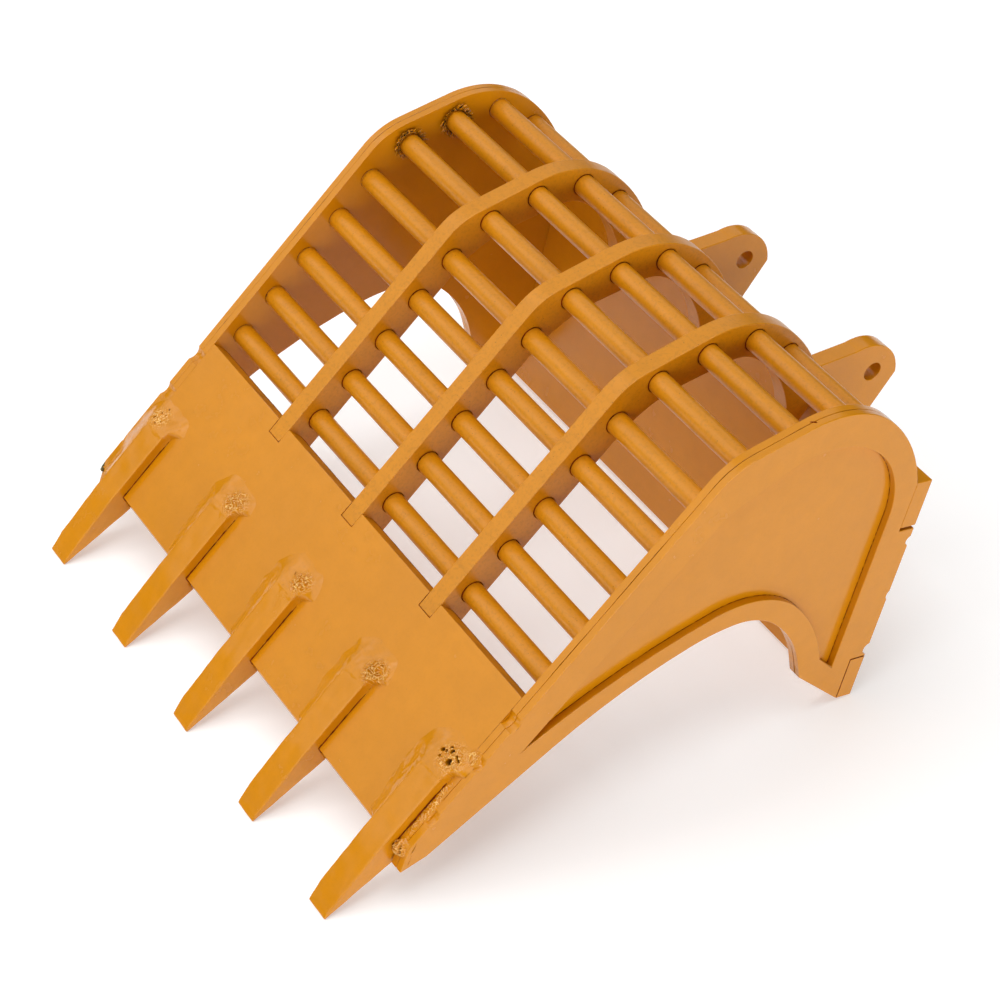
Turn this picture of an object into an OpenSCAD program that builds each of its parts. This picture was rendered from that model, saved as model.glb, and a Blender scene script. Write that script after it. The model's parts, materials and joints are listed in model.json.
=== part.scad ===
// Skeleton (sieve) bucket for a scale-model excavator, resting on its teeth with the mouth down.
//
// Every outline is drawn in one shared side view: u runs back along the outside of the grid floor,
// from the lip's front edge, and w runs out of it. The side view is extruded across the width (X)
// and then tilted until the tooth tips and the mouth end of the top plate lie on the ground.

/* [Width] */
// Clear width between the two side plates
clear_w = 89.2; // [80:0.1:100]
// Thickness of each of the two sheets that make up a side plate
sheet_t = 1.2; // [1:0.1:1.5]
// Distance between neighbouring ribs
rib_pitch = 22; // [18:0.5:22]

/* [Plates] */
// Thickness of the lip, the ribs, the top plate and the ears
plate_t = 3; // [2.5:0.1:3.2]
// Length of the lip, front to back
lip_len = 27.6; // [26:0.1:28]
// How far the lip's inner face reaches ahead of its outer face
lip_bevel = 1.2; // [0.5:0.1:1.5]
// Depth of the slots in the lip that take the rib ends
slot_depth = 2.5; // [1.5:0.1:4]
// Length of the top plate, from its back edge to the mouth
top_len = 41.5; // [39:0.1:42]
// Angle between the top plate and the floor
top_angle = 35; // [34:0.5:36]

/* [Rods] */
// Diameter of the cross rods
rod_d = 3.5; // [3:0.1:3.8]
// Clearance around a rod in a rib's hole
rod_gap = 0.1; // [0.05:0.05:0.15]
// Distance from the lip's front edge to the first rod
first_rod = 31.4; // [30.5:0.1:32]
// Spacing of the rods in the flat floor
floor_step = 8; // [7.5:0.1:8]
// Spacing of the rods round the heel
heel_step = 8.65; // [8.2:0.05:8.7]
// How deep a floor rod's axis lies below the outer face
floor_rod_depth = 3.8; // [3:0.1:4]
// How deep a heel rod's axis lies below the rib's outer edge
heel_rod_depth = 2.8; // [2.6:0.1:3.2]
// How deep a rod is let into the inner sheet of a side plate
rod_seat = 0.9; // [0.4:0.1:1]

/* [Ribs] */
// Depth of a rib in the flat floor
rib_depth = 6.2; // [6:0.1:6.6]

/* [Teeth] */
// Width of a tooth
tooth_w = 4.7; // [4.5:0.1:5]
// How far the tips stand ahead of the lip
tooth_reach = 14.5; // [12:0.1:16]
// Length of the tooth that lies on the lip
tooth_back = 12.4; // [10:0.1:14]
// Height of a tooth above the lip
tooth_rise = 1.65; // [1.4:0.05:2]
// Height of the tip's upper edge above the floor line
tip_rise = 0.95; // [0.8:0.05:1.3]
// Thickness of the chisel edge
tip_t = 0.45; // [0.3:0.05:0.6]
// Length of the clipped corner at the tip
clip_len = 3.2; // [1:0.1:4]
// How much of the tip's width the clipped corner takes
clip_w = 0.5; // [0.3:0.1:1.5]

/* [Ears] */
// Clear width between the two ears
ear_gap = 30.2; // [26:0.1:36]
// Diameter of the pin holes
pin_d = 3.2; // [2.5:0.1:3.6]
// Link pin hole: distance from the top plate's back edge
link_along = 2.9; // [2.5:0.1:3.3]
// Link pin hole: height above the top plate
link_height = 14; // [13.5:0.1:14.5]
// Stick pin hole, nearer the mouth: distance from the top plate's back edge
stick_along = 31; // [29:0.5:32]
// Stick pin hole: height above the top plate
stick_height = 9; // [8:0.5:10]

/* [Hidden] */

paint = [0.86, 0.57, 0.18];
arc_step = 3;
bore_fn = 96;
cut = 0.5;

// An outline is a list of moves. A straight run is [length, 0, 0] and an arc is [0, radius, turn],
// where a positive turn bends down towards the inside of the bucket.
side_heel = [[66.8, 0, 0], [0, 12, 34.5], [9.2, 0, 0], [0, 17, 55.5], [0, 28, 34]];
rib_start = lip_len - slot_depth;
rib_heel = [[65.9 - rib_start, 0, 0], [0, 10.3, 33], [10.9, 0, 0], [0, 17.5, 57], [0, 27.3, 34]];
rib_inside = [[61.7 - rib_start, 0, 0], [0, 19.5, 36.5], [8, 0, 0], [0, 6.3, 44], [0, 20.4, 62]];

// Mouth edge of a side plate, from its front tip to the corner above the top plate
side_nose = [1.4, 0];
side_tip = [-2.6, -2.1];
side_chin = [1.2, -4.3];
mouth_angle = 15.2;
mouth_edge = [[23.4, 0, 0], [0, 83, 16.7], [0, 29, 14.9], [0, 12.1, 42.3], [0, 23.5, 32.3], [3.4, 0, 0]];

// Window in the outer sheet: its long edge under the floor, the heel, and the edge along the mouth
window_tip = [21.5, -5.3];
window_angle = 0.6;
window_heel = [[41.8, 0, 0], [0, 8.2, 22], [8.3, 0, 0], [0, 16, 122]];
window_mouth_angle = 18.3;
window_mouth = [[1.6, 0, 0], [0, 113, 16.4], [0, 16.3, 58.9], [0, 30, 30.3]];
window_corner = [53.7, -53.6];

// Tabs of the side plates in the notches of the top plate, measured from its back edge
tab_from = 8.9;
tab_to = 33.6;
notch_from = 8.35;
notch_to = 33.7;
// Bites left where the plates were snapped out of their sheet: place, depth and radius
tab_bites = [[11.3, 0.6, 0.9], [21.7, 0.35, 1.2], [32.3, 0.85, 1.1]];
edge_bites = [[6.8, 0.5, 1.6], [16.8, 0.5, 1.6], [24.2, 0.6, 1.6]];

// Teeth: where each one was set across the width, by eye, and the breaks in its side view
tooth_places = [-41, -19.6, 0.8, 21.2, 42];
tooth_chamfer = 1;
taper_start = -2;

// Ear outline above the top plate: the rounded tip and the second boss
ear_tip = [5.2, 11.9];
ear_tip_r = 7.5;
ear_tip_span = [203, 101];
ear_brow = [9.8, 16.5];
ear_waist = [20, 12];
stick_boss_r = 6;
stick_boss_span = [96, -36];
ear_foot = 37;
link_pin = [link_along, link_height];
stick_pin = [stick_along, stick_height];

function heading(a) = [cos(a), -sin(a)];
function inward(a) = [-sin(a), -cos(a)];

// Where a move ends when it starts at p with heading a
function move_end(p, a, m) =
    m[1] == 0 ? p + m[0] * heading(a)
              : p + m[1] * inward(a) - m[1] * inward(a + m[2]);

// Points of an outline that starts at p with heading a
function walk(p, a, moves, i = 0) =
    i == len(moves) ? [p]
    : let (m = moves[i], n = max(1, ceil(m[2] / arc_step)))
      concat([for (k = [0:n - 1]) move_end(p, a, [0, m[1], m[2] * k / n])],
             walk(move_end(p, a, m), a + m[2], moves, i + 1));

// The same moves at a depth below the outline, and the point at distance s along them
function inset(moves, d) = [for (m = moves) m[1] == 0 ? m : [0, m[1] - d, m[2]]];
function move_len(m) = m[1] == 0 ? m[0] : m[1] * m[2] * PI / 180;
function part_of(m, s) = m[1] == 0 ? [s, 0, 0] : [0, m[1], s / m[1] * 180 / PI];
function along(p, a, moves, s, i = 0) =
    i == len(moves) - 1 || s <= move_len(moves[i])
        ? move_end(p, a, part_of(moves[i], s))
        : along(move_end(p, a, moves[i]), a + moves[i][2], moves, s - move_len(moves[i]), i + 1);

function reversed(points) = [for (i = [len(points) - 1:-1:0]) points[i]];
function last(points) = points[len(points) - 1];

// Top plate's own frame: a runs along it from the back edge to the mouth, h out of its outer face
side_edge = walk([0, 0], 0, side_heel);
top_run = heading(180 - top_angle);
top_out = [sin(top_angle), -cos(top_angle)];
top_corner = last(side_edge) + plate_t * top_out;
function on_top(a, h) = top_corner + a * top_run + h * top_out;

// Tilt and height that put the tooth tips and the mouth end of the top plate on the ground
tip_low = [-tooth_reach - 0.1, tip_rise - tip_t];
mouth_low = on_top(top_len, 0);
tilt = atan2(tip_low[1] - mouth_low[1], mouth_low[0] - tip_low[0]);
function rise(p) = p[0] * sin(tilt) + p[1] * cos(tilt);
function reach(p) = p[0] * cos(tilt) - p[1] * sin(tilt);
ear_center = on_top(ear_tip[0], ear_tip[1]);
middle = (reach(tip_low) + reach(ear_center) + ear_tip_r) / 2;

// Places across the width
inner_x = clear_w / 2;
seam_x = inner_x + sheet_t;
outer_x = seam_x + sheet_t;
rod_end_x = inner_x + rod_seat;
floor_rods = 5;
heel_start = first_rod - rib_start + (floor_rods - 1) * floor_step;

function rod_place(k) =
    k <= floor_rods
        ? [first_rod + (k - 1) * floor_step, -floor_rod_depth]
        : along([rib_start, -heel_rod_depth], 0, inset(rib_heel, heel_rod_depth),
                heel_start + (k - floor_rods) * heel_step);

// Extrudes a side-view outline from x0 to x1 and sets it down on the ground
module across(x0, x1) {
    translate([0, -middle, -rise(tip_low)])
        rotate([tilt, 0, 0])
            translate([x0, 0, 0])
                rotate([90, 0, 90])
                    linear_extrude(x1 - x0)
                        children();
}

// The same, mirrored to the left side when side is -1
module on_side(side, x0, x1) {
    across(min(side * x0, side * x1), max(side * x0, side * x1))
        children();
}

// Draws in the top plate's own frame
module top_frame() {
    multmatrix([[top_run[0], top_out[0], 0, top_corner[0]],
                [top_run[1], top_out[1], 0, top_corner[1]],
                [0, 0, 1, 0]])
        children();
}

module rod_holes(clearance) {
    for (k = [1:9])
        translate(rod_place(k))
            circle(d = rod_d + 2 * clearance, $fn = bore_fn);
}

// Outline of a side plate with its tab and the snapped-off bites
module side_outline() {
    difference() {
        polygon(concat(
            [side_nose],
            [for (p = side_edge) if (p[0] > side_nose[0]) p],
            [on_top(tab_from, -plate_t), on_top(tab_from, 0), on_top(tab_to, 0)],
            [on_top(tab_to, -plate_t), on_top(top_len, -plate_t)],
            reversed(walk(side_chin, mouth_angle, mouth_edge)),
            [side_tip]));
        top_frame()
            for (b = tab_bites)
                translate([b[0], b[2] - b[1]])
                    circle(r = b[2], $fn = bore_fn);
        for (b = edge_bites)
            translate([b[0], b[2] - b[1]])
                circle(r = b[2], $fn = bore_fn);
    }
}

module window_outline() {
    polygon(concat(
        walk(window_tip, window_angle, window_heel),
        [window_corner],
        reversed(walk(window_tip, window_mouth_angle, window_mouth))));
}

module side_panel(side) {
    color(paint) difference() {
        on_side(side, inner_x, seam_x) side_outline();
        on_side(side, inner_x - cut, rod_end_x) rod_holes(0);
    }
}

module side_frame(side) {
    color(paint) on_side(side, seam_x, outer_x) difference() {
        side_outline();
        window_outline();
    }
}

module lip_plate() {
    color(paint) difference() {
        across(-inner_x, inner_x)
            polygon([[0, 0], [lip_len, 0], [lip_len, -plate_t], [-lip_bevel, -plate_t]]);
        for (x = [-rib_pitch, 0, rib_pitch])
            across(x - plate_t / 2, x + plate_t / 2)
                translate([rib_start, -plate_t - cut])
                    square([slot_depth + cut, plate_t + 2 * cut]);
    }
}

module top_plate() {
    color(paint) difference() {
        across(-outer_x, outer_x)
            top_frame() translate([0, -plate_t]) square([top_len, plate_t]);
        for (side = [-1, 1])
            on_side(side, inner_x, outer_x + cut)
                top_frame()
                    translate([notch_from, -plate_t - cut])
                        square([notch_to - notch_from, plate_t + 2 * cut]);
    }
}

module rib(k) {
    x = (k - 2) * rib_pitch;
    color(paint) across(x - plate_t / 2, x + plate_t / 2) difference() {
        polygon(concat(
            walk([rib_start, 0], 0, rib_heel),
            reversed(walk([rib_start, -rib_depth], 0, rib_inside))));
        top_frame() translate([-top_len, -plate_t]) square([3 * top_len, top_len]);
        rod_holes(rod_gap);
    }
}

module rod(k) {
    color(paint) across(-rod_end_x, rod_end_x)
        translate(rod_place(k)) circle(d = rod_d, $fn = bore_fn);
}

// A tooth lies on the lip, steps down over its front edge and tapers to a chisel tip
module tooth(k) {
    x = tooth_places[k - 1];
    color(paint) intersection() {
        across(x - tooth_w / 2, x + tooth_w / 2)
            polygon([[tooth_back, 0], [tooth_back - tooth_chamfer, tooth_rise], [taper_start, tooth_rise],
                     [-tooth_reach, tip_rise], tip_low, [-lip_bevel, -plate_t], [0, 0]]);
        tooth_plan(x);
    }
}

// Plan of a tooth, with one corner of the chisel edge clipped
module tooth_plan(x) {
    translate([0, -middle, -rise(tip_low)])
        rotate([tilt, 0, 0])
            translate([x - tooth_w / 2, 0, -2 * plate_t])
                linear_extrude(4 * plate_t)
                    polygon([[0, tooth_back], [0, clip_len + tip_low[0]],
                             [clip_w, tip_low[0]], [tooth_w, tip_low[0]], [tooth_w, tooth_back]]);
}

function arc(center, r, span) =
    [for (a = [span[0]:-arc_step:span[1]]) center + r * [cos(a), sin(a)]];

module ear_outline() {
    difference() {
        polygon(concat(
            [[0, 0]],
            arc(ear_tip, ear_tip_r, ear_tip_span),
            [ear_brow, ear_waist],
            arc(stick_pin, stick_boss_r, stick_boss_span),
            [[ear_foot, 0]]));
        for (p = [link_pin, stick_pin])
            translate(p) circle(d = pin_d, $fn = bore_fn);
    }
}

module ear(side) {
    color(paint) on_side(side, ear_gap / 2, ear_gap / 2 + plate_t)
        top_frame() ear_outline();
}

lip_plate();
top_plate();
ear(-1);  // ear_left
ear(1);  // ear_right
side_panel(-1);  // side_panel_left
side_panel(1);  // side_panel_right
side_frame(-1);  // side_frame_left
side_frame(1);  // side_frame_right
for (k = [1:5])
    tooth(k);
for (k = [1:3])
    rib(k);
for (k = [1:9])
    rod(k);
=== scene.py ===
"""Looks of a brazed, painted skeleton bucket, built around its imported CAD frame.

The frame and every mesh are in metres. Places and sizes written here are in millimetres,
apart from the camera, the lights and the scales of the materials' patterns.
"""

import json
import math
import random
from collections import namedtuple

import bmesh
import bpy
from mathutils import Matrix, Vector, noise


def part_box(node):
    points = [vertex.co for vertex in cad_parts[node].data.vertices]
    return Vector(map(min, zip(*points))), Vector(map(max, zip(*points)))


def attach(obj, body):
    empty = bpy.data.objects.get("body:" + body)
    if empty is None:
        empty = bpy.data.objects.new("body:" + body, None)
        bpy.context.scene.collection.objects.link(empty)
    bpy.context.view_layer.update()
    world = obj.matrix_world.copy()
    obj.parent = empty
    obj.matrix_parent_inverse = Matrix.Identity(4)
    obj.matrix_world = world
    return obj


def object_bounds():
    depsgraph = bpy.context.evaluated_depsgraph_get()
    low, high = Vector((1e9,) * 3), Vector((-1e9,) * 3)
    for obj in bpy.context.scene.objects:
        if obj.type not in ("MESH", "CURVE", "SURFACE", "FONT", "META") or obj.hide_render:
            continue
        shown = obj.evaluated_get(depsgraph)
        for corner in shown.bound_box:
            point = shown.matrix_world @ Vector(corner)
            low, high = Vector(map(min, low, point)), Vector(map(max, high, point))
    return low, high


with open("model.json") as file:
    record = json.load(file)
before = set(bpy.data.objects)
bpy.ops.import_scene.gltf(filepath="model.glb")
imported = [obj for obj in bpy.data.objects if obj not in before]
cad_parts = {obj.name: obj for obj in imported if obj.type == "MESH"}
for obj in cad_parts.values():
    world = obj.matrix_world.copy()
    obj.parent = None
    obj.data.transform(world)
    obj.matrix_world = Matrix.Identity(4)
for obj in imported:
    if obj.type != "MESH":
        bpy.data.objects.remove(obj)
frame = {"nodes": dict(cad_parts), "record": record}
cad_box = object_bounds()
MM = 0.001
X_AXIS = Vector((1, 0, 0))
noise.seed_set(11)  # noise_vector is drawn anew at each start unless it is seeded

# ---------------------------------------------------------------- places, worked out from the frame
TEETH = range(1, 6)
RIBS = range(1, 4)
RODS = range(1, 10)

# Along the floor, from the lip's front edge
FIRST_ROD = 31.4   # the first rod's axis
TOOTH_BACK = 12.4  # the teeth's back ends
SLOT_FRONT = 25.1  # where the rib ends stop, in the lip's slots
LIP_BACK = 27.6    # the lip's back edge

# Out of the floor's outer face
ROD_DEPTH = 3.8    # down to the rods' axes
TOOTH_RISE = 1.65  # up to the teeth's tops

# Across the bucket
INNER_X = 44.6     # side plates: inner face, joint of the two sheets, outer face
SEAM_X = 45.8
OUTER_X = 47.0

# Stock
PLATE = 3.0        # thickness of the lip, the ribs and the top plate
TOOTH_HALF = 2.35  # half a tooth's width
ROD_RADIUS = 1.75

# Along the top plate, from its back edge, and off it
LINK_PIN_ALONG = 2.9
LINK_PIN_OFF = 14.0
PINS_APART_ALONG = 28.1
PINS_APART_OFF = 5.0
TAB_END = 33.7     # where the side plates' tabs end
MOUTH_EDGE = 41.4  # the plate's other edge


def middle_of(node):
    """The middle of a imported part's box, in metres."""
    low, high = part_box(node)
    return (low + high) / 2


def x_of(node):
    """Where that middle lies across the bucket, in millimetres."""
    return middle_of(node).x / MM


along = (middle_of("rod_5") - middle_of("rod_1")).normalized()
outward = X_AXIS.cross(along)
lip_edge = middle_of("rod_1") - FIRST_ROD * MM * along + ROD_DEPTH * MM * outward
lip_edge.x = 0


def at(x, u, w):
    """A point x across, u back from the lip's front edge and w out of the floor."""
    return X_AXIS * x * MM + lip_edge + along * u * MM + outward * w * MM


# The top plate's own directions come from the two pin holes
pins = {m["name"]: Vector(m["pos_m"]) for m in frame["record"]["mounts"]}
pin_run = pins["stick_pin"] - pins["link_pin"]
pin_turn = Matrix.Rotation(math.atan2(PINS_APART_OFF, PINS_APART_ALONG), 3, X_AXIS)
to_mouth = (pin_turn @ pin_run).normalized()
off_plate = X_AXIS.cross(to_mouth)
plate_back = (pins["link_pin"] - LINK_PIN_ALONG * MM * to_mouth
              - LINK_PIN_OFF * MM * off_plate)


def on_top(x, a, h):
    """A point x across, a along the top plate from its back edge and h above it."""
    return X_AXIS * x * MM + plate_back + to_mouth * a * MM + off_plate * h * MM


# ---------------------------------------------------------------- studio, in metres and watts
VIEW_AZIMUTH = math.radians(54.54)
VIEW_ELEVATION = math.radians(41.78)
VIEW_ROLL = math.radians(3.98)
VIEW_DISTANCE = 0.3899
AIM_OFFSET = Vector((0.0040, -0.0052, -0.0070))
FOCAL_LENGTH = 92.29
SENSOR_WIDTH = 36
LIGHT_DISTANCE = 1.2
SKY_STRENGTH = 0.06
FLOOR_HALF = 3
FLOOR_TONE = 0.7
FLOOR_GLOW = 0.38  # lifts the floor to the pale ground that the bucket stands on


def toward(azimuth, elevation):
    """The direction from the object towards an azimuth and elevation, in radians."""
    return Vector((math.sin(azimuth) * math.cos(elevation),
                   -math.cos(azimuth) * math.cos(elevation),
                   math.sin(elevation)))


def make_camera():
    low, high = cad_box
    aim = (low + high) / 2 + AIM_OFFSET
    back = toward(VIEW_AZIMUTH, VIEW_ELEVATION)
    turn = (-back).to_track_quat("-Z", "Y").to_matrix().to_4x4()
    camera = bpy.data.objects.new("camera", bpy.data.cameras.new("camera"))
    bpy.context.scene.collection.objects.link(camera)
    camera.data.lens = FOCAL_LENGTH
    camera.data.sensor_width = SENSOR_WIDTH
    camera.data.clip_start = 0.01
    camera.matrix_world = (Matrix.Translation(aim + back * VIEW_DISTANCE) @ turn
                           @ Matrix.Rotation(VIEW_ROLL, 4, "Z"))
    bpy.context.scene.camera = camera


def softbox(name, azimuth, elevation, width, height, power):
    """An area light that looks at the object. Azimuth and elevation are in degrees."""
    back = toward(math.radians(azimuth), math.radians(elevation))
    light = bpy.data.lights.new(name, "AREA")
    light.shape = "RECTANGLE"
    light.size = width
    light.size_y = height
    light.energy = power
    box = bpy.data.objects.new(name, light)
    box.location = back * LIGHT_DISTANCE
    box.rotation_mode = "QUATERNION"
    box.rotation_quaternion = (-back).to_track_quat("-Z", "Y")
    bpy.context.scene.collection.objects.link(box)


def make_studio():
    world = bpy.data.worlds.new("studio")
    world.use_nodes = True
    sky = world.node_tree.nodes["Background"]
    sky.inputs["Color"].default_value = (1, 1, 1, 1)
    sky.inputs["Strength"].default_value = SKY_STRENGTH
    bpy.context.scene.world = world
    softbox("overhead", 0, 85, 0.9, 0.9, 9.0)
    softbox("front", 0, 40, 0.9, 0.9, 4.9)
    softbox("front_left", 315, 40, 0.9, 0.9, 3.1)
    softbox("back_left", 255, 38, 1.6, 0.9, 3.6)
    softbox("low_right", 90, 9, 1.2, 0.25, 7.7)
    softbox("low_front", 50, 9, 1.2, 0.25, 1.2)
    bpy.context.scene.view_settings.view_transform = "Standard"


def make_floor():
    mesh = bpy.data.meshes.new("floor")
    bm = bmesh.new()
    bmesh.ops.create_grid(bm, x_segments=1, y_segments=1, size=FLOOR_HALF)
    bm.to_mesh(mesh)
    bm.free()
    floor = bpy.data.objects.new("floor", mesh)
    bpy.context.scene.collection.objects.link(floor)
    material = bpy.data.materials.new("floor")
    material.use_nodes = True
    shader = material.node_tree.nodes["Principled BSDF"]
    shader.inputs["Base Color"].default_value = (FLOOR_TONE, FLOOR_TONE, FLOOR_TONE, 1)
    shader.inputs["Roughness"].default_value = 0.9
    shader.inputs["Specular IOR Level"].default_value = 0.1
    shader.inputs["Emission Color"].default_value = (1, 1, 1, 1)
    shader.inputs["Emission Strength"].default_value = FLOOR_GLOW
    mesh.materials.append(material)


# ---------------------------------------------------------------- paint
AMBER = (0.60, 0.222, 0.0015)
# Painted shade for the braze's pores and hollows, and a painted glint for its sharp crests
HOLLOW_SHADE_TONE = (0.012, 0.005, 0.002)
GLINT_TONE = (0.95, 0.62, 0.2)
# Painted shade for open joints, and a lighter painted shade for the seams between sheets
JOINT_SHADE_TONE = (0.15, 0.02, 0.002)
SEAM_SHADE_TONE = (0.26, 0.085, 0.006)
CHIP = (0.10, 0.085, 0.035)


class Nodes:
    """Adds shader nodes to a new material and links them."""

    MIX_INPUTS = (0, 6, 7)  # the colour mix node's factor and its two colours
    MIX_RESULT = 2

    def __init__(self, name):
        self.material = bpy.data.materials.new(name)
        self.material.use_nodes = True
        self.tree = self.material.node_tree
        self.shader = self.tree.nodes["Principled BSDF"]

    def add(self, kind, settings=(), **inputs):
        node = self.tree.nodes.new(kind)
        for key, value in dict(settings).items():
            setattr(node, key, value)
        for key, value in inputs.items():
            self.feed(node.inputs[key.replace("_", " ")], value)
        return node

    def feed(self, socket, value):
        """Links a socket to another, or sets it to a plain value."""
        if isinstance(value, bpy.types.NodeSocket):
            self.tree.links.new(value, socket)
        else:
            socket.default_value = value

    def place(self):
        """Object coordinates, in metres."""
        return self.add("ShaderNodeTexCoord").outputs["Object"]

    def span(self, value, low, high, to_low=0.0, to_high=1.0):
        """Maps low..high to to_low..to_high, clamped."""
        return self.add("ShaderNodeMapRange", Value=value, From_Min=low, From_Max=high,
                        To_Min=to_low, To_Max=to_high).outputs["Result"]

    def mix(self, factor, a, b):
        """From colour a to colour b."""
        node = self.add("ShaderNodeMix", {"data_type": "RGBA"})
        for socket, value in zip(self.MIX_INPUTS, (factor, a, b)):
            self.feed(node.inputs[socket], value)
        return node.outputs[self.MIX_RESULT]

    def math(self, how, a, b):
        node = self.add("ShaderNodeMath", {"operation": how})
        self.feed(node.inputs[0], a)
        self.feed(node.inputs[1], b)
        return node.outputs[0]

    def noise(self, place, scale, detail=2.0):
        """Noise with scale waves to the metre."""
        return self.add("ShaderNodeTexNoise", Vector=place, Scale=scale,
                        Detail=detail).outputs["Fac"]


def rgba(color, gain=1.0):
    return (*(c * gain for c in color), 1)


def amber_paint(name, specks, peel, dry=0.0):
    """Satin amber enamel. specks is how strongly grit shows in it, peel how deep its orange peel
    is, and dry how much rougher it dried than on the plates."""
    n = Nodes(name)
    place = n.place()
    cloud = n.noise(place, scale=55.0, detail=3.0)
    mottle = n.noise(place, scale=420.0, detail=3.0)
    color = n.mix(n.span(cloud, 0.3, 0.7), rgba(AMBER, 0.955), rgba(AMBER, 1.04))
    color = n.mix(n.span(mottle, 0.35, 0.7, 0.0, 0.35), color, rgba(AMBER, 0.86))

    # Grit: a small dark dot in some of the cells of a Voronoi pattern, thicker in some places
    cells = n.add("ShaderNodeTexVoronoi", Vector=place, Scale=1150.0)
    dot = n.span(cells.outputs["Distance"], 0.05, 0.13, 1.0, 0.0)
    pick = n.add("ShaderNodeSeparateColor", Color=cells.outputs["Color"]).outputs["Red"]
    crowd = n.noise(place, scale=160.0)
    chance = n.span(crowd, 0.42, 0.75, 0.93 - 0.1 * specks, 0.62 - 0.1 * specks)
    dot = n.math("MULTIPLY", dot, n.math("GREATER_THAN", pick, chance))
    color = n.mix(n.math("MULTIPLY", dot, specks), color, rgba(AMBER, 0.34))

    # Drawing streaks, which run across the bucket as the rods do, and a fine dark grain
    stretched = n.add("ShaderNodeMapping", Vector=place, Scale=(0.06, 1.0, 1.0)).outputs["Vector"]
    streak = n.noise(stretched, scale=900.0)
    color = n.mix(n.span(streak, 0.45, 0.7, 0.0, 0.25 * specks), color, rgba(AMBER, 0.72))
    dust = n.noise(place, scale=2100.0, detail=3.0)
    color = n.mix(n.span(dust, 0.5, 0.66, 0.0, 0.35 * specks), color, rgba(AMBER, 0.55))

    # Painted shade and painted highlight, from a value per point on the braze pieces: above zero it
    # darkens the braze's pores and hollows as painted shade, below zero it lightens its sharp
    # crests as a painted glint
    painted_light_level = n.add("ShaderNodeAttribute", {"attribute_name": "painted_light"}).outputs["Fac"]
    painted_light = n.span(painted_light_level, 0.0, 1.0)
    color = n.mix(painted_light, color, rgba(HOLLOW_SHADE_TONE))
    color = n.mix(n.span(painted_light_level, 0.0, -1.0), color, rgba(GLINT_TONE))

    waves = n.noise(place, scale=260.0, detail=1.0)
    grain = n.noise(place, scale=1500.0, detail=3.0)
    height = n.math("ADD", n.math("MULTIPLY", waves, 2.0), n.math("MULTIPLY", grain, 0.45))
    bump = n.add("ShaderNodeBump", Height=height, Strength=1.0, Distance=peel * MM)
    gloss = n.math("ADD", n.span(cloud, 0.3, 0.7, 0.17 + dry, 0.24 + dry),
                   n.span(mottle, 0.4, 0.7, 0.0, 0.06))
    n.shader.inputs["Specular IOR Level"].default_value = 0.42
    n.feed(n.shader.inputs["Base Color"], color)
    n.feed(n.shader.inputs["Roughness"], n.math("ADD", gloss, n.math("MULTIPLY", painted_light, 0.5)))
    n.feed(n.shader.inputs["Normal"], bump.outputs["Normal"])
    return n.material


def dull_material(name, scale, detail, tones, roughest, specular):
    """A dry surface that varies between two colours. roughest is where its roughness starts."""
    n = Nodes(name)
    cloud = n.noise(n.place(), scale, detail)
    n.feed(n.shader.inputs["Base Color"], n.mix(n.span(cloud, 0.35, 0.65), *tones))
    n.feed(n.shader.inputs["Roughness"], n.span(cloud, 0.3, 0.7, roughest, 0.95))
    n.shader.inputs["Specular IOR Level"].default_value = specular
    return n.material


def joint_shade_and_chip(name, tone):
    """A dull dark material: painted shade for the inside of a joint that braze and paint didn't
    fill, and the bare metal of a chip.
    """
    return dull_material(name, 900.0, 2.0, (rgba(tone, 0.6), rgba(tone, 1.6)), 0.75, 0.03)


def dull_edge(name):
    """The paint's colour, somewhat darker and without its gloss, on a sheared edge."""
    return dull_material(name, 350.0, 3.0, (rgba(AMBER, 0.72), rgba(AMBER, 0.95)), 0.8, 0.08)


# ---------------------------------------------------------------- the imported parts
ROUNDING = 0.15        # the paint's rounding of sharp edges
THIN_ROUNDING = 0.06   # and on parts that meet a neighbour flush
GRIND_DEPTH = 0.14
GRIND_SCALE = 2.2


def dress(node, width, paint):
    """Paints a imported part. Its mesh is welded and its sharp edges rounded, as enamel does."""
    node.data.materials.clear()
    node.data.materials.append(paint)
    weld = node.modifiers.new("weld", "WELD")
    weld.merge_threshold = 0.002 * MM
    flat = node.modifiers.new("flat", "DECIMATE")
    flat.decimate_type = "DISSOLVE"
    flat.angle_limit = math.radians(0.5)
    bevel = node.modifiers.new("bevel", "BEVEL")
    bevel.width = width * MM
    bevel.segments = 3
    bevel.limit_method = "ANGLE"
    bevel.angle_limit = math.radians(35)
    bevel.use_clamp_overlap = False


def grind(node, texture):
    """Leaves a tooth slightly uneven, as hand grinding does."""
    dense = node.modifiers.new("dense", "SUBSURF")
    dense.subdivision_type = "SIMPLE"
    dense.levels = 4
    dense.render_levels = 4
    uneven = node.modifiers.new("uneven", "DISPLACE")
    uneven.texture = texture
    uneven.texture_coords = "LOCAL"
    uneven.strength = GRIND_DEPTH * MM
    uneven.mid_level = 0.5


def even_shading(node):
    shading = node.modifiers.new("shading", "WEIGHTED_NORMAL")
    shading.weight = 100


def dress_parts(plain, gritty):
    """Plates and teeth take the plain paint, rods and ribs the gritty one."""
    ground = bpy.data.textures.new("ground", "CLOUDS")
    ground.noise_scale = GRIND_SCALE * MM
    ground.noise_depth = 2
    for name, node in frame["nodes"].items():
        flush = name.startswith(("lip", "side_panel"))
        dress(node, THIN_ROUNDING if flush else ROUNDING,
              gritty if name.startswith(("rod", "rib")) else plain)
        if name.startswith("tooth"):
            grind(node, ground)
        even_shading(node)


# ---------------------------------------------------------------- shapes of added pieces
SUNK = -0.35           # the rim of a patch, under the metal's surface


def smooth(t):
    t = min(max(t, 0.0), 1.0)
    return t * t * (3 - 2 * t)


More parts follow.
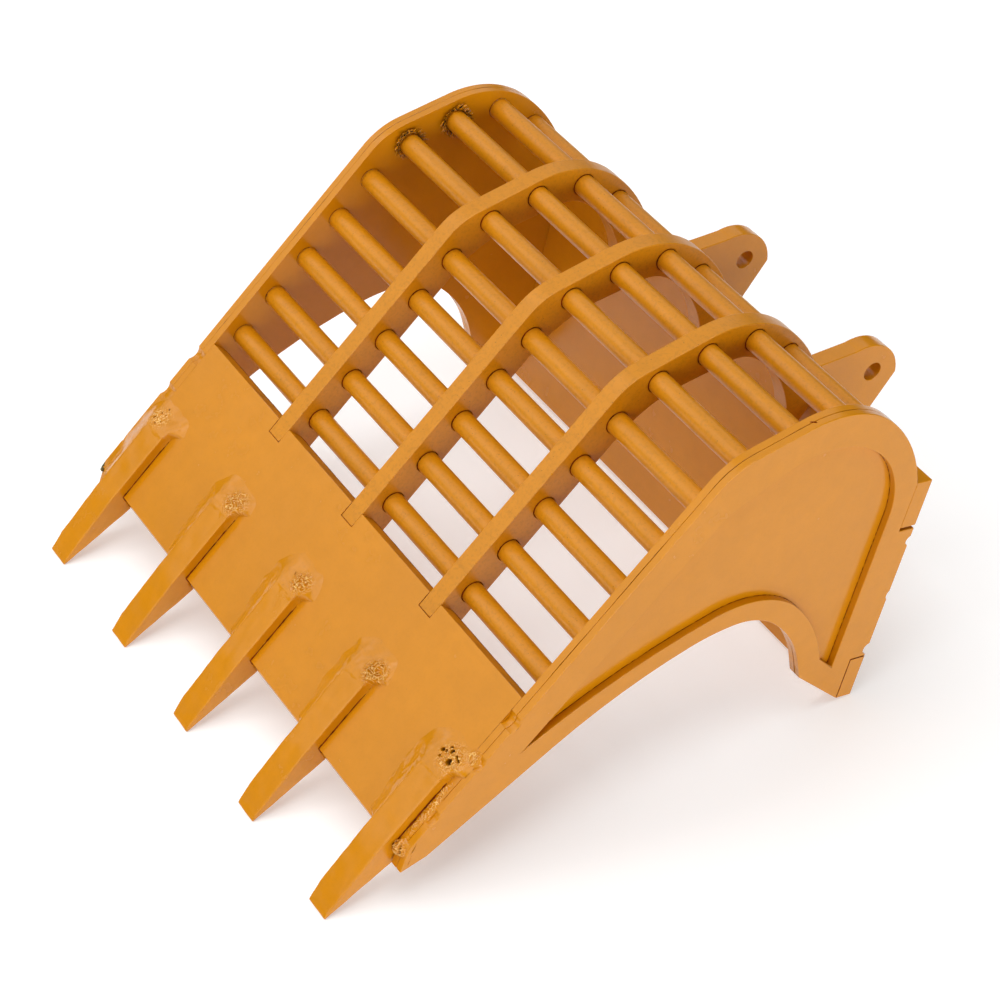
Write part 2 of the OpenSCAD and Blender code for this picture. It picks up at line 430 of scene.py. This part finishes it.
def bumps(x, y, z):
    """Smooth noise, about -1 to 1, with bumps about a unit wide."""
    return noise.noise(Vector((x, y, z)))


def wrinkle(s, t, salt):
    """Ridges of a braze puddle that froze while it moved, 0 to 1."""
    p = Vector((s, t, salt * 3.7))
    p = p + noise.noise_vector(p * 0.9) * 0.55
    return (1 - abs(noise.noise(p * 1.9))) ** 4


def add_piece(name, bm, painted_light, paint):
    """Makes a piece of a bmesh and hangs it on the bucket. Its third argument holds a value of
    painted light per point: painted shade above zero, a painted highlight below zero.
    """
    bmesh.ops.recalc_face_normals(bm, faces=bm.faces)
    for face in bm.faces:
        face.smooth = True
    mesh = bpy.data.meshes.new(name)
    bm.to_mesh(mesh)
    bm.free()
    layer = mesh.attributes.new("painted_light", "FLOAT", "POINT")
    layer.data.foreach_set("value", painted_light)
    mesh.materials.append(paint)
    piece = bpy.data.objects.new(name, mesh)
    bpy.context.scene.collection.objects.link(piece)
    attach(piece, "root")


def steps(low, high, step):
    """Even steps from low to high, about step apart."""
    count = max(1, round((high - low) / step))
    return [low + (high - low) * k / count for k in range(count + 1)]


def skin(name, place, across, back, height, paint):
    """A lifted patch: height(s, t) gives its height and its painted light, both over the point
    place(s, t, height); painted light is painted shade above zero and a painted highlight below
    zero. Its rim is closed underneath."""
    bm = bmesh.new()
    painted_light = []
    rows = []
    for t in back:
        row = []
        for s in across:
            h, dark = height(s, t)
            row.append(bm.verts.new(place(s, t, h)))
            painted_light.append(dark)
        rows.append(row)
    for a, b in zip(rows, rows[1:]):
        for k in range(len(across) - 1):
            bm.faces.new((a[k], a[k + 1], b[k + 1], b[k]))
    rim = (rows[0] + [r[-1] for r in rows[1:]] + rows[-1][-2::-1]
           + [r[0] for r in rows[-2:0:-1]])
    for edge in bm.faces.new(rim[::-1]).edges:
        edge.smooth = False
    add_piece(name, bm, painted_light, paint)


# ---------------------------------------------------------------- braze
Knot = namedtuple("Knot", "s t radius height")    # the crumpled spot where the torch lifted off
Pore = namedtuple("Pore", "s t end_s end_t radius")

BRAZE_GRID = 0.06      # spacing of the mesh where it shows detail
SIDE_LIMITS = (-46.9, 46.2)  # how far across tooth braze may reach, on the side plates


def pore_at(s, t, pore):
    """How open a pore is at (s, t), 0 to 1, and how high its rim stands, 0 to 1."""
    run = Vector((pore.end_s - pore.s, pore.end_t - pore.t))
    off = Vector((s - pore.s, t - pore.t))
    part = min(max(off.dot(run) / run.length_squared, 0), 1) if run.length_squared else 0
    q = (off - run * part).length / pore.radius
    return 1 - smooth((q - 0.7) / 0.4), math.exp(-((q - 1.45) / 0.3) ** 2)


def pierce(h, s, t, pores, rim_rise, pit_floor):
    """Opens pores in a surface of height h. Returns the height and how open it is there."""
    opening = 0
    for pore in pores:
        here, rim = pore_at(s, t, pore)
        h += rim_rise * rim
        opening = max(opening, here)
    if h > pit_floor:
        h += (pit_floor - h) * opening
    return h, opening


def tooth_braze(k, left, rear, wall, knot, pores, paint):
    """The braze along a tooth's far side and behind it. left and rear are how far it reaches, and
    wall is where the tooth's bare near side ends."""
    x = x_of(f"tooth_{k}")
    salt = float(k)

    def height(s, t):
        # d is the distance from the tooth, which is 1 where the braze runs out
        reach = left * (0.65 + 0.35 * smooth(t / 9)) * (1 + 0.12 * bumps(t * 0.35, salt, 0))
        to_left = max(-TOOTH_HALF + 0.1 - s, 0) / reach
        to_right = max(s - TOOTH_HALF + 0.15, 0) / (0.3 + 2.2 * smooth((t - wall) / 1.6))
        to_back = max(t - TOOTH_BACK + 0.9, 0) / rear
        d = math.hypot(to_left, to_back, to_right) * (1 + 0.1 * bumps(s * 0.45, t * 0.45, salt))
        h = (TOOTH_RISE + 0.04) * (0.65 * max(1 - d, 0) + 0.35 * (1 - smooth(d))) - 0.02
        h -= 0.7 * smooth((d - 1) / 0.7)

        # The crumpled spot, and a slight unevenness everywhere
        near = smooth(1.4 - math.hypot(s - knot.s, t - knot.t) / knot.radius)
        edge = smooth(1.5 - d)
        ridge = wrinkle(s * 1.25, t * 1.25, salt)
        h += near * knot.height * edge * (ridge - 0.15)
        h += near * 0.35 * knot.height * edge * bumps(s * 3.4, t * 3.4, salt + 4)
        h += 0.05 * bumps(s * 1.3, t * 1.3, salt + 2) * smooth(h)
        h, opening = pierce(h, s, t, pores, rim_rise=0.1, pit_floor=0.04)

        # Under the tooth's top, so that the tooth itself shows there
        inside = smooth((s + 2.2) / 0.3) * smooth((11.6 - t) / 1.6)
        h -= inside * (0.08 + 0.4 * smooth((10.0 - t) / 0.5))
        # Painted highlight: a pale glint on the crumpled spot's sharp ridges; open pores get
        # painted shade instead
        glint = near * edge * smooth((ridge - 0.6) / 0.3) * 0.8
        return h + (SUNK - h) * smooth((0.8 - t) / 0.5), opening if opening > 0 else -glint

    across = steps(max(-TOOTH_HALF - left * 1.15, SIDE_LIMITS[0] - x),
                   min(TOOTH_HALF + 2.4, SIDE_LIMITS[1] - x), 0.07)
    back = steps(0.3, 10, 0.14) + steps(10, TOOTH_BACK + rear + 0.3, BRAZE_GRID)[1:]
    skin(f"braze_tooth_{k}", lambda s, t, h: at(x + s, t, h), across, back, height, paint)


def spot_braze(name, place, size_s, size_t, rise, crust, pores, salt, paint):
    """A small crusty lump of braze; place(s, t, h) sets it on the metal. crust is how high its
    ridges stand."""
    def height(s, t):
        d = math.hypot(s / size_s, t / size_t) * (1 + 0.25 * bumps(s, t, salt))
        h = rise * (1 - smooth(d)) - 0.03 - 0.8 * smooth((d - 1) / 0.4)
        ridge = wrinkle(s * 1.2, t * 1.2, salt) * smooth((1.1 - d) / 0.5)
        h, opening = pierce(h + crust * ridge, s, t, pores, rim_rise=0, pit_floor=0.02)
        # Painted shade in the open pores, and a painted highlight on the sharp ridges
        return h, opening if opening > 0 else -0.7 * smooth((ridge - 0.6) / 0.3)

    skin(name, place, steps(-size_s * 1.3, size_s * 1.3, BRAZE_GRID),
         steps(-size_t * 1.3, size_t * 1.3, BRAZE_GRID), height, paint)


def on_nose(middle):
    """Places on the front face of a side plate's tip, s across and t down it."""
    lean, rise = 0.885, 0.465  # cosine and sine of that face's angle to the floor
    return lambda s, t, h: at(middle + s, 0.35 - lean * t - rise * h,
                              -0.55 - rise * t + lean * h)


def on_edge(x, u):
    """Places on a side plate's upper edge, round the point (x, u)."""
    return lambda s, t, h: at(x + s, u + t, h)


def rod_braze(k, side, size, grit, salt, paint):
    """A ring of braze where a rod meets the inner face of a side plate (side -1 far, 1 near).
    size is the bead's radius and grit how crumbly it is."""
    centre = middle_of(f"rod_{k}")
    face = INNER_X * side * MM
    around, arc = 150, 14
    bm = bmesh.new()
    painted_light = []
    rings = []
    for i in range(around):
        a = 2 * math.pi * i / around
        spoke = along * math.cos(a) + outward * math.sin(a)
        lump = bumps(math.cos(a) * 1.3, math.sin(a) * 1.3, salt)
        ring = []
        for j in range(arc + 1):
            b = math.pi * (j / arc - 0.15) * 0.77
            spot = spoke * 3.2 + X_AXIS * b * size * 1.6
            crumb = noise.noise(spot * 3.1 + Vector((salt, 0, 0)))
            grain = noise.noise(spot * 6.5 + Vector((0, salt, 0)))
            r = max(size * (0.85 + 0.6 * lump + grit * (0.9 * crumb + 0.5 * grain)), 0.03)
            radius = ROD_RADIUS - 0.05 + r * (1 - math.cos(b)) * 0.9
            rise = r * math.sin(b)
            ring.append(bm.verts.new(Vector((face - side * rise * MM, centre.y, centre.z))
                                     + spoke * radius * MM))
            # Painted shade in the hollows between the crumbs, more of it where the braze is
            # crumblier
            painted_light.append(grit * smooth((-crumb - 0.02) / 0.25))
        rings.append(ring)
    for a, b in zip(rings, rings[1:] + rings[:1]):
        for j in range(arc):
            bm.faces.new((a[j], a[j + 1], b[j + 1], b[j]))
        bm.faces.new((a[-1], a[0], b[0], b[-1]))
    add_piece(f"braze_rod_{k}_{'left' if side < 0 else 'right'}", bm, painted_light, paint)


def add_braze(paint):
    """All the braze that shows: at the teeth, on the side plates and round the rods."""
    pinholes = [Pore(-2.2, 12.7, -2.1, 12.9, 0.13), Pore(-1.7, 13.1, -1.7, 13.1, 0.1),
                Pore(-1.0, 14.2, -1.0, 14.2, 0.09), Pore(-1.7, 15.1, -1.6, 15.1, 0.12),
                Pore(-2.0, 14.0, -1.9, 14.0, 0.11), Pore(-0.6, 13.0, -0.6, 13.0, 0.1),
                Pore(-1.2, 12.2, -1.1, 12.3, 0.1)]
    one_pore = [Pore(-1.1, 14.3, -0.9, 14.1, 0.1)]
    cluster = [Pore(1.1, 14.0, 1.1, 14.1, 0.42), Pore(-1.2, 14.5, -1.1, 14.6, 0.26),
               Pore(-0.5, 14.8, -0.5, 14.8, 0.22), Pore(-0.4, 15.6, -0.4, 15.6, 0.2),
               Pore(0.2, 15.4, 0.2, 15.2, 0.25), Pore(-0.7, 13.7, -0.7, 13.7, 0.2),
               Pore(1.3, 15.3, 2.2, 15.0, 0.15)]
    tooth_braze(1, 3.5, 4.8, 12.2, Knot(-1.4, 13.4, 1.9, 0.15), pinholes, paint)
    tooth_braze(2, 3.5, 5.4, 12.7, Knot(1.1, 14.0, 2.0, 0.44), [], paint)
    tooth_braze(3, 3.7, 5.6, 11.9, Knot(1.1, 14.0, 1.7, 0.55), one_pore, paint)
    tooth_braze(4, 3.3, 6.0, 12.4, Knot(2.0, 14.0, 1.9, 0.65), [], paint)
    tooth_braze(5, 3.7, 6.2, 12.8, Knot(0.9, 14.7, 2.2, 0.3), cluster, paint)

    tip_pores = [Pore(-1.0, -0.9, -0.5, -1.1, 0.12), Pore(0.5, -0.6, 0.9, 0.4, 0.1)]
    spot_braze("braze_tip_right", on_nose(45.1), 1.5, 1.6, 0.8, 0.5, tip_pores, 6.0, paint)
    spot_braze("braze_tip_left", on_nose(-45.2), 1.2, 1.2, 0.4, 0.2, [], 8.0, paint)
    spot_braze("braze_edge_right", on_edge(45.0, 16.6), 1.3, 1.5, 0.2, 0.3, [], 7.0, paint)
    spot_braze("braze_crust_right", on_edge(45.1, 7.4), 0.75, 6.2, 0.05, 0.16, [], 9.0, paint)

    for k in RODS:
        coarse = k in (6, 7)
        rod_braze(k, -1, 0.75 if coarse else 0.18, 1.25 if coarse else 0.4, k * 1.7, paint)
        rod_braze(k, 1, 0.2, 0.4, k * 2.3, paint)


# ---------------------------------------------------------------- painted shade in joints left open, and chips
UNDER = -0.02          # a hairline's axis, just under the surface


def gap(name, points, width, paint, closed=False):
    """A dark hairline along a joint: a thin tube through the points, width(k, point) wide. With the
    dark joint materials it is painted shade, standing in for the shade inside the joint.
    """
    sides = 6
    count = len(points)
    bm = bmesh.new()
    rings = []
    for k, p in enumerate(points):
        ahead = points[(k + 1) % count] if closed or k + 1 < count else p
        behind = points[k - 1] if closed or k else p
        run = (ahead - behind).normalized()
        lies_across = abs(run.x) > 0.9
        side = (run.orthogonal() if lies_across else run.cross(X_AXIS)).normalized()
        up = run.cross(side)
        r = max(width(k, p), 0.002) / 2 * MM
        rings.append([bm.verts.new(p + (side * math.cos(a) + up * math.sin(a)) * r)
                      for a in (2 * math.pi * j / sides for j in range(sides))])
    for a, b in zip(rings, rings[1:] + rings[:1] if closed else rings[1:]):
        for j in range(sides):
            bm.faces.new((a[j], a[(j + 1) % sides], b[(j + 1) % sides], b[j]))
    if not closed:
        bm.faces.new(rings[0])
        bm.faces.new(rings[-1])
    add_piece(name, bm, [0.0] * (count * sides), paint)


def fine(points, step=0.25):
    """The same polyline with a point about every step millimetres."""
    out = []
    for a, b in zip(points, points[1:]):
        n = max(1, math.ceil((b - a).length / MM / step))
        out += [a.lerp(b, k / n) for k in range(n)]
    return out + [points[-1]]


def fine_ring(points, step):
    """The same for a closed outline."""
    return fine(points + points[:1], step)[:-1]


def steady(full, count):
    """A width that tapers only at the joint's ends; count is its number of points."""
    def width(k, p):
        wobble = noise.noise(p / MM * 1.7)
        return full * (0.95 + 0.5 * wobble) * smooth((k + 1) / 3) * smooth((count - k) / 3)
    return width


def patchy(salt, full, low, high, pitch):
    """A width that comes and goes along a joint, as paint bridges it here and there."""
    def width(k, p):
        v = bumps(salt, p.y / MM / pitch, p.z / MM / pitch)
        fleck = bumps(salt + 9, p.y / MM * 2.2, p.z / MM * 2.2)
        return full * smooth((v - low) / (high - low)) * (0.8 + 0.5 * fleck)
    return width


def behind_lip(width):
    """The same width, but only behind the lip, where braze doesn't cover the joint."""
    start, fade = 28, 4
    return lambda k, p: width(k, p) * smooth((p - lip_edge).dot(along) / MM / fade - start / fade)


def shadow_crescent(angles, shadow_angle, salt):
    """A width round a rod, widest towards the given angle, the side where painted shadow fills the
    joint round the rod.
    """
    def width(j, p):
        fleck = bumps(math.cos(angles[j]) * 4, math.sin(angles[j]) * 4, salt)
        return 0.03 + 0.16 * max(math.cos(angles[j] - shadow_angle), 0) ** 0.7 * (0.9 + 0.8 * fleck)
    return width


def plate_outlines(node, x):
    """The outlines of a plate's face that lies in the plane x, longest first, in metres."""
    bm = bmesh.new()
    bm.from_mesh(frame["nodes"][node].data)
    bmesh.ops.remove_doubles(bm, verts=bm.verts, dist=0.002 * MM)
    bm.normal_update()
    rim = [e for e in bm.edges if all(abs(v.co.x / MM - x) < 0.01 for v in e.verts)
           and len(e.link_faces) == 2 and sum(abs(f.normal.x) > 0.5 for f in e.link_faces) == 1]
    in_rim = set(rim)
    left = {v: [e for e in v.link_edges if e in in_rim] for e in rim for v in e.verts}
    loops = []
    while left:
        v = min(left, key=lambda v: v.index)
        loop = []
        while v in left:
            loop.append(v.co.copy())
            v = next((e.other_vert(v) for e in left.pop(v) if e.other_vert(v) in left), None)
        loops.append(loop)
    bm.free()
    return sorted(loops, key=lambda loop: -sum((a - b).length for a, b in zip(loop, loop[1:])))


def add_tooth_gaps(paint):
    """A dark line of painted shade in the open joint along the near side of each tooth, ragged at
    the last one.
    """
    for k in TEETH:
        x = x_of(f"tooth_{k}") + TOOTH_HALF + 0.02
        line = fine([at(x, -0.5, -1.2), at(x, 0, 0), at(x, 12.2, 0)])
        full = 0.3
        if k == 5:
            line = [p + outward * 0.05 * MM + X_AXIS * 0.12 * MM * noise.noise(p / MM * 0.9)
                    for p in line]
            full = 0.36
        gap(f"tooth_joint_shade_{k}", line, steady(full, len(line)), paint)


def add_lip_gaps(rib_paint, side_paint):
    """Painted shade in the joints in the lip: round the rib ends in their slots, and along the near
    side plate.
    """
    half = PLATE / 2
    for k in RIBS:
        x = x_of(f"rib_{k}")
        line = fine([at(x - half, LIP_BACK, UNDER), at(x - half, SLOT_FRONT, UNDER),
                     at(x + half, SLOT_FRONT, UNDER), at(x + half, SLOT_FRONT + 0.6, UNDER)])
        gap(f"rib_joint_shade_{k}", line, steady(0.11, len(line)), rib_paint)
    line = fine([at(INNER_X, 17.8, UNDER), at(INNER_X, LIP_BACK, UNDER)])
    gap("lip_joint_shade_right", line, steady(0.08, len(line)), side_paint)


def add_lip_edge(face_paint, burr_shade_paint):
    """The lip's sheared back edge, dull between the ribs, with its lower burr in shadow."""
    top, bottom = 0.1, 2.9  # the dull face's upper and lower ends, down the edge
    walls = ([-INNER_X] + [x_of(f"rib_{r}") + e * PLATE / 2 for r in RIBS for e in (-1, 1)]
             + [INNER_X])
    for k, (low, high) in enumerate(zip(walls[::2], walls[1::2])):
        def swelling(s, t, low=low, high=high):
            brim = smooth(min(s - low, high - s, t - top, bottom - t) / 0.12)
            return 0.025 * brim - 0.1 * (1 - brim) + 0.012 * bumps(s * 0.7, t * 2, 1), 0.0

        skin(f"lip_edge_{k + 1}", lambda s, t, h: at(s, LIP_BACK + h, -t),
             steps(low, high, 0.12), steps(top, bottom, 0.07), swelling, face_paint)
        # A dark tube of painted shadow along the burr under the edge
        line = [at(x, LIP_BACK, -2.95) for x in steps(low, high, 0.5)]
        gap(f"lip_burr_shade_{k + 1}", line, steady(0.12, len(line)), burr_shade_paint)


def add_rod_gaps(paint):
    """Painted shadow round each rod, in the gap where it enters the far side plate and the ribs'
    near faces.
    """
    places = [("left", -INNER_X)] + [(f"rib_{r}", x_of(f"rib_{r}") + PLATE / 2) for r in RIBS]
    angles = [2 * math.pi * j / 90 for j in range(90)]
    for k in RODS:
        centre = middle_of(f"rod_{k}")
        for tag, x in places:
            ring = [Vector((x * MM, centre.y, centre.z))
                    + (along * math.cos(a) + outward * math.sin(a)) * (ROD_RADIUS + 0.05) * MM
                    for a in angles]
            shadow_angle = 1.9 + 0.4 * bumps(k * 1.3, x * 0.21, 3)
            gap(f"rod_joint_shade_{k}_{tag}", ring, shadow_crescent(angles, shadow_angle, k * 7 + x), paint,
                closed=True)


def add_side_gaps(seam_paint, paint):
    """Painted shade in each side plate's joints: the seam of its two sheets, the window's inner
    corner, and its tab.
    """
    for side, tag in ((1, "right"), (-1, "left")):
        rim, window = plate_outlines(f"side_frame_{tag}", side * SEAM_X)[:2]
        gap(f"sheet_seam_shade_{tag}", fine_ring(rim, 0.4),
            behind_lip(patchy(side * 2.0, 0.08, -0.1, 0.3, 6.0)), seam_paint, closed=True)
        gap(f"window_joint_shade_{tag}", fine_ring(window, 0.3),
            patchy(side * 5.0, 0.12, -0.3, 0.0, 0.7), paint, closed=True)
        line = fine([on_top(side * OUTER_X, MOUTH_EDGE, -PLATE),
                     on_top(side * OUTER_X, TAB_END, -PLATE),
                     on_top(side * OUTER_X, TAB_END, 0)])
        gap(f"tab_joint_shade_{tag}", line, steady(0.1, len(line)), paint)


def add_damage(nick_shade_paint, chip_paint):
    """A nick in the near plate's seam at the bend, drawn as a dark line of painted shade, and the
    chip on the far plate's tip. Both fade out a few points before the end of their line."""
    nick = [at(45.5, 81.5, -7.6), at(45.9, 81.9, -7.85), at(46.4, 82.3, -8.1)]
    gap("nick_shade_right", fine(nick, 0.1), steady(0.3, 12), nick_shade_paint)
    chip = [at(-46.9, -0.5, -0.8), at(-47, 0.9, -0.65), at(-46.9, 2.3, -0.75)]
    gap("chip_left", fine(chip, 0.1), steady(0.75, 27), chip_paint)


# ---------------------------------------------------------------- beads of paint
BEAD_CHANCE = 0.05
BEAD_FROM = 28         # beads start behind the lip


def nibs(name, spots, salt, paint):
    """Beads of paint that dried along an edge; spots are points in metres."""
    bm = bmesh.new()
    count = 0
    for k, spot in enumerate(spots):
        size = (0.1 + 0.09 * noise.noise(spot / MM * 2.3 + Vector((salt, 0, 0)))) * MM
        made = bmesh.ops.create_icosphere(bm, subdivisions=2, radius=size)["verts"]
        for v in made:
            v.co = spot + v.co * (1 + 0.35 * noise.noise(v.co / size + Vector((k, salt, 0))))
        count += len(made)
    add_piece(name, bm, [0.0] * count, paint)


def add_beads(paint):
    """Beads along the near outer edge of each rib."""
    dice = random.Random(11)
    for r in RIBS:
        edge = max(plate_outlines(f"rib_{r}", x_of(f"rib_{r}") + PLATE / 2), key=len)
        outer = [p for p in fine(edge, 0.2) if (p - lip_edge).dot(outward) > -1 * MM
                 and (p - lip_edge).dot(along) > BEAD_FROM * MM]
        nibs(f"nibs_rib_{r}", [p for p in outer if dice.random() < BEAD_CHANCE], r * 3.0, paint)


# ---------------------------------------------------------------- the whole scene
make_camera()
make_studio()
make_floor()

plain = amber_paint("amber_paint", specks=0.18, peel=0.012)
gritty = amber_paint("amber_paint_gritty", specks=0.8, peel=0.03, dry=0.12)
braze = amber_paint("amber_paint_braze", specks=0.4, peel=0.02, dry=-0.06)
joint_shade_paint = joint_shade_and_chip("joint_shade_and_chip", JOINT_SHADE_TONE)
seam = joint_shade_and_chip("painted_seam_shade", SEAM_SHADE_TONE)
dull = dull_edge("dull_edge")
chipped = joint_shade_and_chip("bare_chip", CHIP)

dress_parts(plain, gritty)
add_braze(braze)
add_tooth_gaps(joint_shade_paint)
add_lip_gaps(joint_shade_paint, seam)
add_lip_edge(dull, joint_shade_paint)
add_rod_gaps(joint_shade_paint)
add_side_gaps(seam, joint_shade_paint)
add_damage(joint_shade_paint, chipped)
add_beads(plain)
